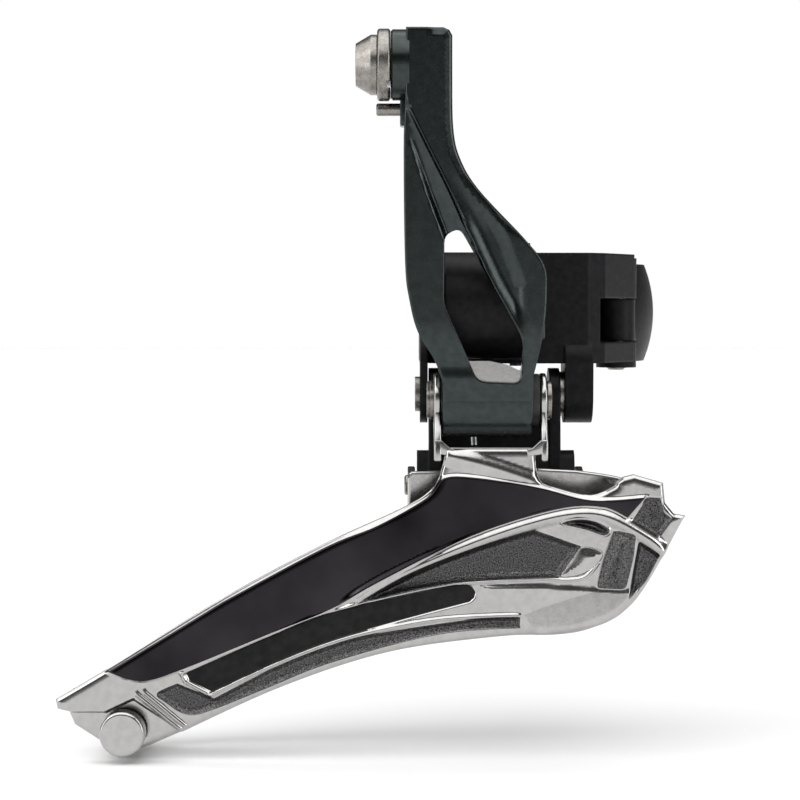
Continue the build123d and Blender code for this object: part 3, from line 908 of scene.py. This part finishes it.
        # The dark panels below are painted reflections: the plate is chrome, and its dark reflections are
        # painted into their colours; only the base and the lens are plain chrome.
        areas = [
            Panel(self.main_panel(), GLOSS_PAINTED_REFLECTION),
            Panel(self.rough_panel(), CAST_TEXTURE_PAINTED_REFLECTION),
            Panel(self.strip(), MATTE_PAINTED_REFLECTION),
            *(Panel(a, CAST_TEXTURE_PAINTED_REFLECTION) for a in (self.low_band(), self.bulge(), self.recess(), self.horn_panel())),
            Panel(self.eye(), CAST_TEXTURE_PAINTED_REFLECTION),
            Panel(self.lens(), POLISHED),
        ]
        crests = [self.crease(), self.long_rib(), self.neck_ridge(), self.foot_step(), *self.thin_ribs()]
        plate = Relief(
            "outer_cage_shell", self.outline(), self.front, self.back, POLISHED, panels=areas, lines=crests,
            step=0.34
        ).build()
        parts = [plate, self.ear(0, 1), self.ear(1, -1), *self.bridge()]
        shell = join(parts, "outer_cage_shell")
        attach(shell, Body.CAGE.value)
        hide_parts("cage_outer_plate")
        return shell

    def ear(self, number: int, way: int) -> Item:
        """Makes one ear, a plate across X whose foot bends into the neck.

        Args:
            number: which ear, 0 for the rear one.
            way: the direction along X that its foot bends to.

        Returns:
            The ear's object.
        """
        start, end = self.ears[number]
        top = arc(self.pivot, self.ear_radius, -25, 205, 26)
        profile = [
            (-38.6, -17.0), *top, (-45.6, -17.4), (-46.9, -19.6), (-47.0, -22.4), (-45.8, -22.6),
            (-44.2, -20.2),
        ]
        ear = across(Axis.X, f"cage_ear_{number}", profile, (start, end), POLISHED)
        side = start if way > 0 else end
        bend = [
            (side, -19.2), (side + 1.1 * way, -19.2), (side + 2.4 * way, -20.4), (side + 3.2 * way, -20.6),
            (side + 3.2 * way, -21.7), (side + 0.9 * way, -21.4), (side, -20.6),
        ]
        foot = across(Axis.Y, f"cage_ear_foot_{number}", bend, (-46.9, -45.8), POLISHED, 0.2)
        return join([ear, foot], f"cage_ear_{number}")

    def bridge(self) -> list[Item]:
        """Makes the bridge's web over the chain and the tab that its rivet holds."""
        web = [(9.6, -26.2), (16.0, -26.8), (16.1, -28.0), (9.6, -27.4)]
        tab = rounded([(9.6, -26.3), (16.0, -26.9), (15.6, -33.9), (10.4, -33.3)], 0.8)
        return [
            across(Axis.Y, "bridge_web", web, (-46.4, -35.6), POLISHED),
            across(Axis.Y, "bridge_tab", tab, (-36.7, -35.52), POLISHED, 0.25),
        ]


@dataclass
class InnerPlate:
    """Inner plate of the cage, with a pressed rib and two ears for the lower link pin.

    Attributes:
        face: Y of the face that the chain runs along.
        sheet: thickness of the sheet.
        rib_depth: how far the rib is pressed inboard.
        pivot: Y and Z of the lower link pin.
        ears: X limits of the two ears.
    """

    face: float = -35.5
    sheet: float = 1.2
    rib_depth: float = 0.8
    pivot: Point = (-29.5, -27.5)
    ears: tuple[Point, Point] = ((-22.4, -21.2), (4.4, 5.6))

    def outline(self) -> Outline:
        """Closed outline, from the tail along the top to the front and back underneath."""
        rear = smooth_run([(-75.4, -59.4), (-69.5, -56.8), (-51.6, -46.2), (-36.5, -38.2), (-25.6, -33.8)], 5)
        top = [(-22.4, -31.0), (-22.4, -25.4), (-21.8, -24.9), (-2.0, -24.4)]
        front = smooth_run([
            (4.0, -24.7), (11.0, -25.8), (16.0, -27.9), (18.3, -31.4), (17.0, -36.0), (9.0, -46.3),
            (4.0, -48.1),
            (-8.0, -48.7), (-25.0, -50.8), (-42.0, -56.1), (-57.0, -62.7), (-64.5, -66.4), (-67.6, -66.3),
        ], 5)
        return [*rear, *top, *front, (-74.0, -62.0)]

    def rib(self) -> Outline:
        """Outline of the pressed rib."""
        return smooth_run([
            (-57.5, -56.9), (-34.0, -46.5), (-14.0, -40.2), (4.0, -37.2), (11.6, -38.2), (8.0, -42.8),
            (-20.0, -46.9), (-55.5, -59.2),
        ], 6, True)

    def front(self, x: Array, z: Array) -> Array:
        """Y of the face that the chain runs along."""
        drop = edge_drop(distance(self.outline(), x, z), 0.35)
        return self.face + drop + self.rib_depth * ease(signed(self.rib(), x, z), 1.4)

    def back(self, x: Array, z: Array) -> Array:
        """Y of the inboard face."""
        return self.face + self.sheet + self.rib_depth * ease(signed(self.rib(), x, z), 1.4)

    def build(self) -> Item:
        """Makes the plate with its ears, in place of the plain one."""
        rib = Panel(self.rib(), POLISHED)
        plate = Relief(
            "inner_cage_shell", self.outline(), self.front, self.back, POLISHED, panels=[rib], step=0.7
        ).build()
        parts = [plate]
        for number, span in enumerate(self.ears):
            profile = [
                *arc(self.pivot, 3.0, -100, 95), (-33.9, -25.6), (-35.3, -25.6), (-35.3, -31.0),
                (-34.2, -31.2),
            ]
            parts.append(across(Axis.X, f"inner_ear_{number}", profile, span, POLISHED, 0.25))
        shell = join(parts, "inner_cage_shell")
        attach(shell, Body.CAGE.value)
        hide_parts("cage_inner_plate")
        return shell


# ---------------------------------------------------------------- arm


@dataclass
class PullArm:
    """Long forged arm with a window, pivot ears, a lower barrel and the cable's boss.

    Attributes:
        pivot: Y and Z of the arm's pivot.
        barrel: Y and Z of the lower barrel's axis.
        barrel_radius: the barrel's radius.
        barrel_span: the barrel's X limits.
        cable_axis: Y and Z of the cable bolt.
        ears: X limits of the two ears.
        face: Y of the plain front face.
        barrel_fall: how far the face falls back at the barrel.
        shelf: depth of the face behind the crest.
        scoop_depth: depth of the hollow above the window.
        limb_depth: depth of the front limb's hollow.
        crest_rise: height of the fine line on the crest.
    """

    pivot: Point = (-39.0, 1.2)
    barrel: Point = (-41.0, -13.3)
    barrel_radius: float = 5.8
    barrel_span: Point = (-17.1, -3.4)
    cable_axis: Point = (-44.8, 37.65)
    ears: tuple[Point, Point] = ((-19.8, -17.1), (-3.9, -1.6))
    face: float = -49.1
    barrel_fall: float = 2.3
    shelf: float = 0.7
    scoop_depth: float = 1.1
    limb_depth: float = 0.8
    crest_rise: float = 0.12

    def outline(self) -> Outline:
        """Closed outline, from the top corner down the front edge and up the rear one."""
        top = [(-22.7, 42.9), (-17.1, 42.9), (-16.2, 42.5), (-15.75, 41.7)]
        front = smooth_run([
            (-15.75, 36.0), (-15.6, 28.0), (-14.6, 23.4), (-11.8, 18.7), (-4.9, 11.3), (-1.9, 7.3),
            (-1.5, 3.0),
            (-2.0, -3.0), (-3.4, -9.5),
        ], 6)
        rear = smooth_run([
            (-17.1, -10.5), (-18.4, -7.0), (-20.9, -2.8), (-22.2, 2.1), (-22.85, 8.0), (-23.05, 25.3),
            (-22.8, 32.0),
        ], 6)
        return [*top, *front, (-3.4, -18.95), (-17.1, -18.95), *rear]

    def window(self) -> Outline:
        """Outline of the window over the casting's boss."""
        corners = [
            (-14.6, 13.0), (-16.9, 11.8), (-16.95, 1.4), (-11.8, -10.3), (-5.2, -10.6), (-5.1, -3.8),
            (-8.8, 2.8),
        ]
        return rounded(corners, 1.3, 4)

    def spine(self) -> Outline:
        """Crest that runs from the rear edge down the front limb."""
        return smooth_run([
            (-22.6, 31.3), (-19.3, 24.6), (-16.2, 18.4), (-13.4, 12.1), (-10.0, 4.8), (-5.6, -3.4),
            (-5.2, -9.0),
        ], 6)

    def crest(self) -> Outline:
        """Part of the crest above the window, which stands out as a fine line."""
        return [place for place in self.spine() if 14.0 < place[1] < 30.8]

    def outer_flat(self) -> Outline:
        """Flatter facet along the front limb's edge."""
        return [(-15.0, 23.0), (-8.4, 12.0), (-5.4, 4.2), (-5.2, -9.0), (4.0, -9.0), (4.0, 23.0)]

    def scoop(self) -> Outline:
        """Hollow beside the crest, above the window."""
        return [
            (-22.6, 31.3), (-19.3, 24.7), (-16.1, 18.3), (-13.2, 12.0), (-17.0, 11.0), (-19.6, 18.0),
            (-22.2, 26.0),
        ]

    def front(self, x: Array, z: Array) -> Array:
        """Y of the outboard surface, with its crest, hollows and bevels."""
        plain = self.face + self.barrel_fall * np.clip((-1.0 - z) / 12.3, 0, 1) ** 2
        lift = np.sqrt(np.maximum(self.barrel_radius**2 - (z - self.barrel[1]) ** 2, 0.01))
        plain = np.where(z < self.barrel[1], self.barrel[0] - lift, plain)
        spine = np.array(self.spine())
        limit = np.interp(z, spine[::-1, 1], spine[::-1, 0])
        above = ease(z + 9.0, 3.0) * (1 - ease(z - 32.0, 2.0))
        right = ease(x - limit, 0.5)
        drop = self.shelf * above * (1 - right)
        scoop = np.clip((limit - x) / 3.2, 0, 1) * ease(signed(self.scoop(), x, z) - 0.5, 1.4)
        drop += self.scoop_depth * above * scoop
        inner = right * (1 - ease(signed(self.outer_flat(), x, z), 2.0)) * ease(17.0 - z, 10.0) * above
        drop += self.limb_depth * inner * ease(x - limit - 1.3, 2.6)
        drop -= self.crest_rise * ridge(self.crest(), x, z, 0.5)
        away = distance(self.outline(), x, z)
        drop += edge_drop(away, 0.35)
        drop += 0.5 * np.clip(1 - away / 1.3, 0, 1) * ease(x + 19.0, 2.0) * ease(z - 13.0, 4.0)
        drop += edge_drop(distance(self.window(), x, z), 0.22)
        return plain + drop

    def back(self, x: Array, z: Array) -> Array:
        """Y of the inboard surface with rounded edges."""
        heights = [-43.6, -46.35, -46.35, -45.2, -44.0, -40.5, -40.5]
        plain = np.interp(z, [-8.6, -7.4, 11.0, 12.5, 24.0, 31.0, 43.2], heights)
        away = np.minimum(distance(self.outline(), x, z), distance(self.window(), x, z))
        plain = plain - edge_drop(away, 0.3)
        reach = np.sqrt(np.maximum(self.barrel_radius**2 - (z - self.barrel[1]) ** 2, 0.01))
        plain = np.where(z < -8.6, self.barrel[0] + np.minimum(reach, 4.4), plain)
        return np.maximum(plain, self.front(x, z) + 0.05)

    def build(self) -> Item:
        """Makes the arm, in place of the plain one."""
        blade = Relief(
            "pull_arm_forging", self.outline(), self.front, self.back, DARK_ANODISED, holes=[self.window()],
            lines=[self.crest()], step=0.4,
        ).build()
        parts = [blade]
        for number, span in enumerate(self.ears):
            profile = [
                *arc(self.pivot, 5.2, -88, 88), (-44.4, 6.6), (-46.6, 6.2), (-46.6, -3.8), (-44.4, -4.2)
            ]
            parts.append(across(Axis.X, f"arm_ear_{number}", profile, span, DARK_ANODISED))
        boss = [(-22.2, 2.56), (-25.0, 2.56), (-25.0, 5.05), (-24.7, 5.35), (-22.2, 5.35)]
        parts.append(ring_x("anchor_boss", self.cable_axis, boss, DARK_ANODISED))
        seat = rounded([(-46.0, 28.4), (-41.6, 28.4), (-41.6, 33.0), (-46.0, 33.0)], 0.8)
        parts.append(across(Axis.X, "anchor_pin_seat", seat, (-23.6, -22.2), DARK_ANODISED))
        barrel = arc(self.barrel, self.barrel_radius - 0.02, 135, 405, 64)
        parts.append(across(Axis.X, "lower_barrel", barrel, self.barrel_span, DARK_ANODISED, 0.2))
        arm = join(parts, "pull_arm_forging")
        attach(arm, Body.ARM.value)
        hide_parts("pull_arm")
        return arm


# ---------------------------------------------------------------- spring


@dataclass
class ReturnSpring:
    """Torsion spring round the upper link pin, one leg on the casting and one on the link.

    Attributes:
        axis: Y and Z of its axis.
        start: X of its first turn.
        length: length of the coil.
        turns: number of turns.
        radius: radius of the coil's centre line.
        wire: radius of the wire.
        legs: lengths of the two straight legs.
        phase: angle at which the coil starts, in radians.
    """

    axis: Point = (-27.5, -13.0)
    start: float = -16.4
    length: float = 4.1
    turns: float = 3.25
    radius: float = 3.2
    wire: float = 0.62
    legs: Point = (6.0, 8.0)
    phase: float = math.pi / 2

    def path(self, along: float) -> Vector:
        """Point of the coil's centre line at a share of its length."""
        turn = math.tau * self.turns * along
        y = self.axis[0] + self.radius * math.cos(turn + self.phase)
        z = self.axis[1] + self.radius * math.sin(turn + self.phase)
        return Vector((self.start + self.length * along, y, z))

    def build(self) -> Item:
        """Makes the spring, in place of the plain one."""
        count = round(self.turns * 40)
        coil = [self.path(i / count) for i in range(count + 1)]
        first = (coil[0] - coil[1]).normalized()
        last = (coil[-1] - coil[-2]).normalized()
        run = [coil[0] + first * self.legs[0], *coil, coil[-1] + last * self.legs[1]]
        curve = bpy.data.curves.new("return_spring_wire", "CURVE")
        curve.dimensions = "3D"
        curve.bevel_depth = self.wire * MM
        curve.bevel_resolution = 5
        curve.use_fill_caps = True
        line = curve.splines.new("POLY")
        line.points.add(len(run) - 1)
        for point, place in zip(line.points, run):
            point.co = (*(place * MM), 1.0)
        wire = bpy.data.objects.new("return_spring_wire", curve)
        bpy.context.scene.collection.objects.link(wire)
        bpy.context.view_layer.update()
        mesh = bpy.data.meshes.new_from_object(wire.evaluated_get(bpy.context.evaluated_depsgraph_get()))
        bpy.data.objects.remove(wire)
        mesh.materials.clear()
        mesh.materials.append(finish(SPRING))
        mesh.polygons.foreach_set("use_smooth", [True] * len(mesh.polygons))
        spring = bpy.data.objects.new("return_spring_coil", mesh)
        bpy.context.scene.collection.objects.link(spring)
        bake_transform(spring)
        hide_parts("return_spring")
        return spring


# ---------------------------------------------------------------- dressing and studio


FINISHES: dict[str, tuple[MetalFinish, tuple[str, ...]]] = {
    "castings": (BLACK_PAINT, ("base_clamp", "clamp_band", "inner_link")),
    "fasteners": (STEEL, (
        "clamp_bolt", "clamp_washer", "cable_bolt", "cable_washer", "anchor_pin", "hinge_pin",
        "arm_pivot_pin",
        "cage_pin", "cage_pin_washer", "link_pin_upper", "link_pin_lower", "link_thrust_washer",
        "bridge_rivet",
        "tail_spacer",
    )),
    "bright": (POLISHED, ("tail_rivet", "stop_plate")),
    "screws": (BLACK_STEEL, ("low_limit_screw", "high_limit_screw")),
    "plastic": (RESIN, (
        "arm_bush_rear", "arm_bush_front", "cage_bush_rear", "cage_bush_front", "spring_sleeve",
    )),
}


def dress_nodes(nodes: dict[str, Item]) -> None:
    """Gives each CAD node that stays its finish.

    Args:
        nodes: the CAD objects by name.
    """
    for group, (kind, names) in FINISHES.items():
        for name in names:
            item = nodes[name]
            if not item.material_slots:
                item.data.materials.append(None)
            for slot in item.material_slots:
                slot.material = finish(kind)
        LOG.info("%s: %d pieces in %s", group, len(names), kind.name)


@dataclass(frozen=True)
class Softbox:
    """Soft rectangular light.

    Attributes:
        name: the light's name.
        place: its place in metres.
        size: its width and height in metres.
        power: its power in watts.
    """

    name: str
    place: tuple[float, float, float]
    size: Point
    power: float


@dataclass
class Studio:
    """Pale floor, soft lights and the camera.

    Attributes:
        eye: the camera's place in millimetres.
        tilt: how far the camera looks down, in degrees.
        lens: focal length for a 36 mm sensor.
        floor_gap: how far the floor lies under the cage.
        floor_grey: the floor's albedo.
        aim: the place in metres that the softboxes face.
        softboxes: the rectangular lights.
        sun_width: how wide the overhead light is in the sky, in degrees.
        sun_energy: its strength.
        sun_lean: its turns about X and Y, in degrees.
        bands: the surround's greys by height, from the horizon at 0 to straight up at 1.
    """

    eye: tuple[float, float, float] = (-23.6, -367.0, 1.3)
    tilt: float = 2.575
    lens: float = 95.04
    floor_gap: float = 1.0
    floor_grey: float = 0.86
    aim: tuple[float, float, float] = (-0.025, -0.03, -0.01)
    softboxes: tuple[Softbox, ...] = (
        Softbox("left_softbox", (-0.75, -0.35, 0.30), (0.35, 0.8), 2.5),
        Softbox("right_softbox", (0.7, -0.45, 0.25), (0.3, 0.8), 2.8),
    )
    sun_width: float = 90.0
    sun_energy: float = 2.4
    sun_lean: Point = (12.0, -10.0)
    bands: tuple[Point, ...] = (
        (0.0, 0.50), (0.06, 0.46), (0.24, 0.06), (0.62, 0.10), (0.80, 0.8), (1.0, 1.0)
    )

    def floor(self) -> None:
        """Makes the floor."""
        low = CAD_BOX[0][2] - self.floor_gap * MM
        bpy.ops.mesh.primitive_plane_add(size=6.0, location=(0, 0, low))
        floor = bpy.context.object
        floor.name = "studio_floor"
        material, _, shader = new_tree("pale_floor")
        shader.inputs["Base Color"].default_value = (*[self.floor_grey] * 3, 1.0)
        shader.inputs["Roughness"].default_value = 0.9
        floor.data.materials.append(material)

    def softbox(self, box: Softbox) -> None:
        """Adds one softbox, facing the aim."""
        data = bpy.data.lights.new(box.name, "AREA")
        data.shape = "RECTANGLE"
        data.size, data.size_y = box.size
        data.energy = box.power
        light = bpy.data.objects.new(box.name, data)
        light.location = box.place
        way = Vector(self.aim) - Vector(box.place)
        light.rotation_euler = way.to_track_quat("-Z", "Y").to_euler()
        bpy.context.scene.collection.objects.link(light)

    def sun(self) -> None:
        """Adds one broad light from above, which lights the floor evenly."""
        data = bpy.data.lights.new("overhead_light", "SUN")
        data.angle = math.radians(self.sun_width)
        data.energy = self.sun_energy
        light = bpy.data.objects.new("overhead_light", data)
        light.rotation_euler = (*map(math.radians, self.sun_lean), 0)
        bpy.context.scene.collection.objects.link(light)

    def surround(self) -> None:
        """Makes the room's glow: white behind the object, and grey bands for the metal to reflect."""
        world = bpy.data.worlds.new("studio_world")
        world.use_nodes = True
        tree = world.node_tree
        glow = tree.nodes["Background"]
        place = tree.nodes.new("ShaderNodeTexCoord")
        split = tree.nodes.new("ShaderNodeSeparateXYZ")
        ramp = tree.nodes.new("ShaderNodeValToRGB")
        seen = tree.nodes.new("ShaderNodeBackground")
        rays = tree.nodes.new("ShaderNodeLightPath")
        mix = tree.nodes.new("ShaderNodeMixShader")
        tree.links.new(place.outputs["Generated"], split.inputs["Vector"])
        tree.links.new(split.outputs["Z"], ramp.inputs["Fac"])
        stops = ramp.color_ramp.elements
        while len(stops) < len(self.bands):
            stops.new(0.5)
        for stop, (height, grey) in zip(stops, self.bands):
            stop.position = height
            stop.color = (grey, grey, grey, 1.0)
        tree.links.new(ramp.outputs["Color"], glow.inputs["Color"])
        seen.inputs["Color"].default_value = (1.0, 1.0, 1.0, 1.0)
        tree.links.new(rays.outputs["Is Camera Ray"], mix.inputs["Fac"])
        tree.links.new(glow.outputs["Background"], mix.inputs[1])
        tree.links.new(seen.outputs["Background"], mix.inputs[2])
        tree.links.new(mix.outputs["Shader"], tree.nodes["World Output"].inputs["Surface"])
        bpy.context.scene.world = world

    def build(self) -> None:
        """Makes the whole studio."""
        self.floor()
        for box in self.softboxes:
            self.softbox(box)
        self.sun()
        self.surround()
        bpy.context.scene.view_settings.view_transform = "Standard"
        data = bpy.data.cameras.new("camera")
        data.lens = self.lens
        data.clip_start = 0.01
        camera = bpy.data.objects.new("camera", data)
        camera.location = Vector(self.eye) * MM
        camera.rotation_euler = (math.radians(90 - self.tilt), 0, 0)
        bpy.context.scene.collection.objects.link(camera)
        bpy.context.scene.camera = camera


def main() -> None:
    """Builds every piece, dresses the CAD nodes and sets up the studio."""
    logging.basicConfig(level=logging.INFO, format="%(message)s")
    for piece in (OuterPlate(), InnerPlate(), PullArm(), ReturnSpring()):
        item = piece.build()
        LOG.info("%s: %d faces", item.name, len(item.data.polygons))
    dress_nodes(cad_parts)
    Studio().build()


if __name__ == "__main__":
    main()
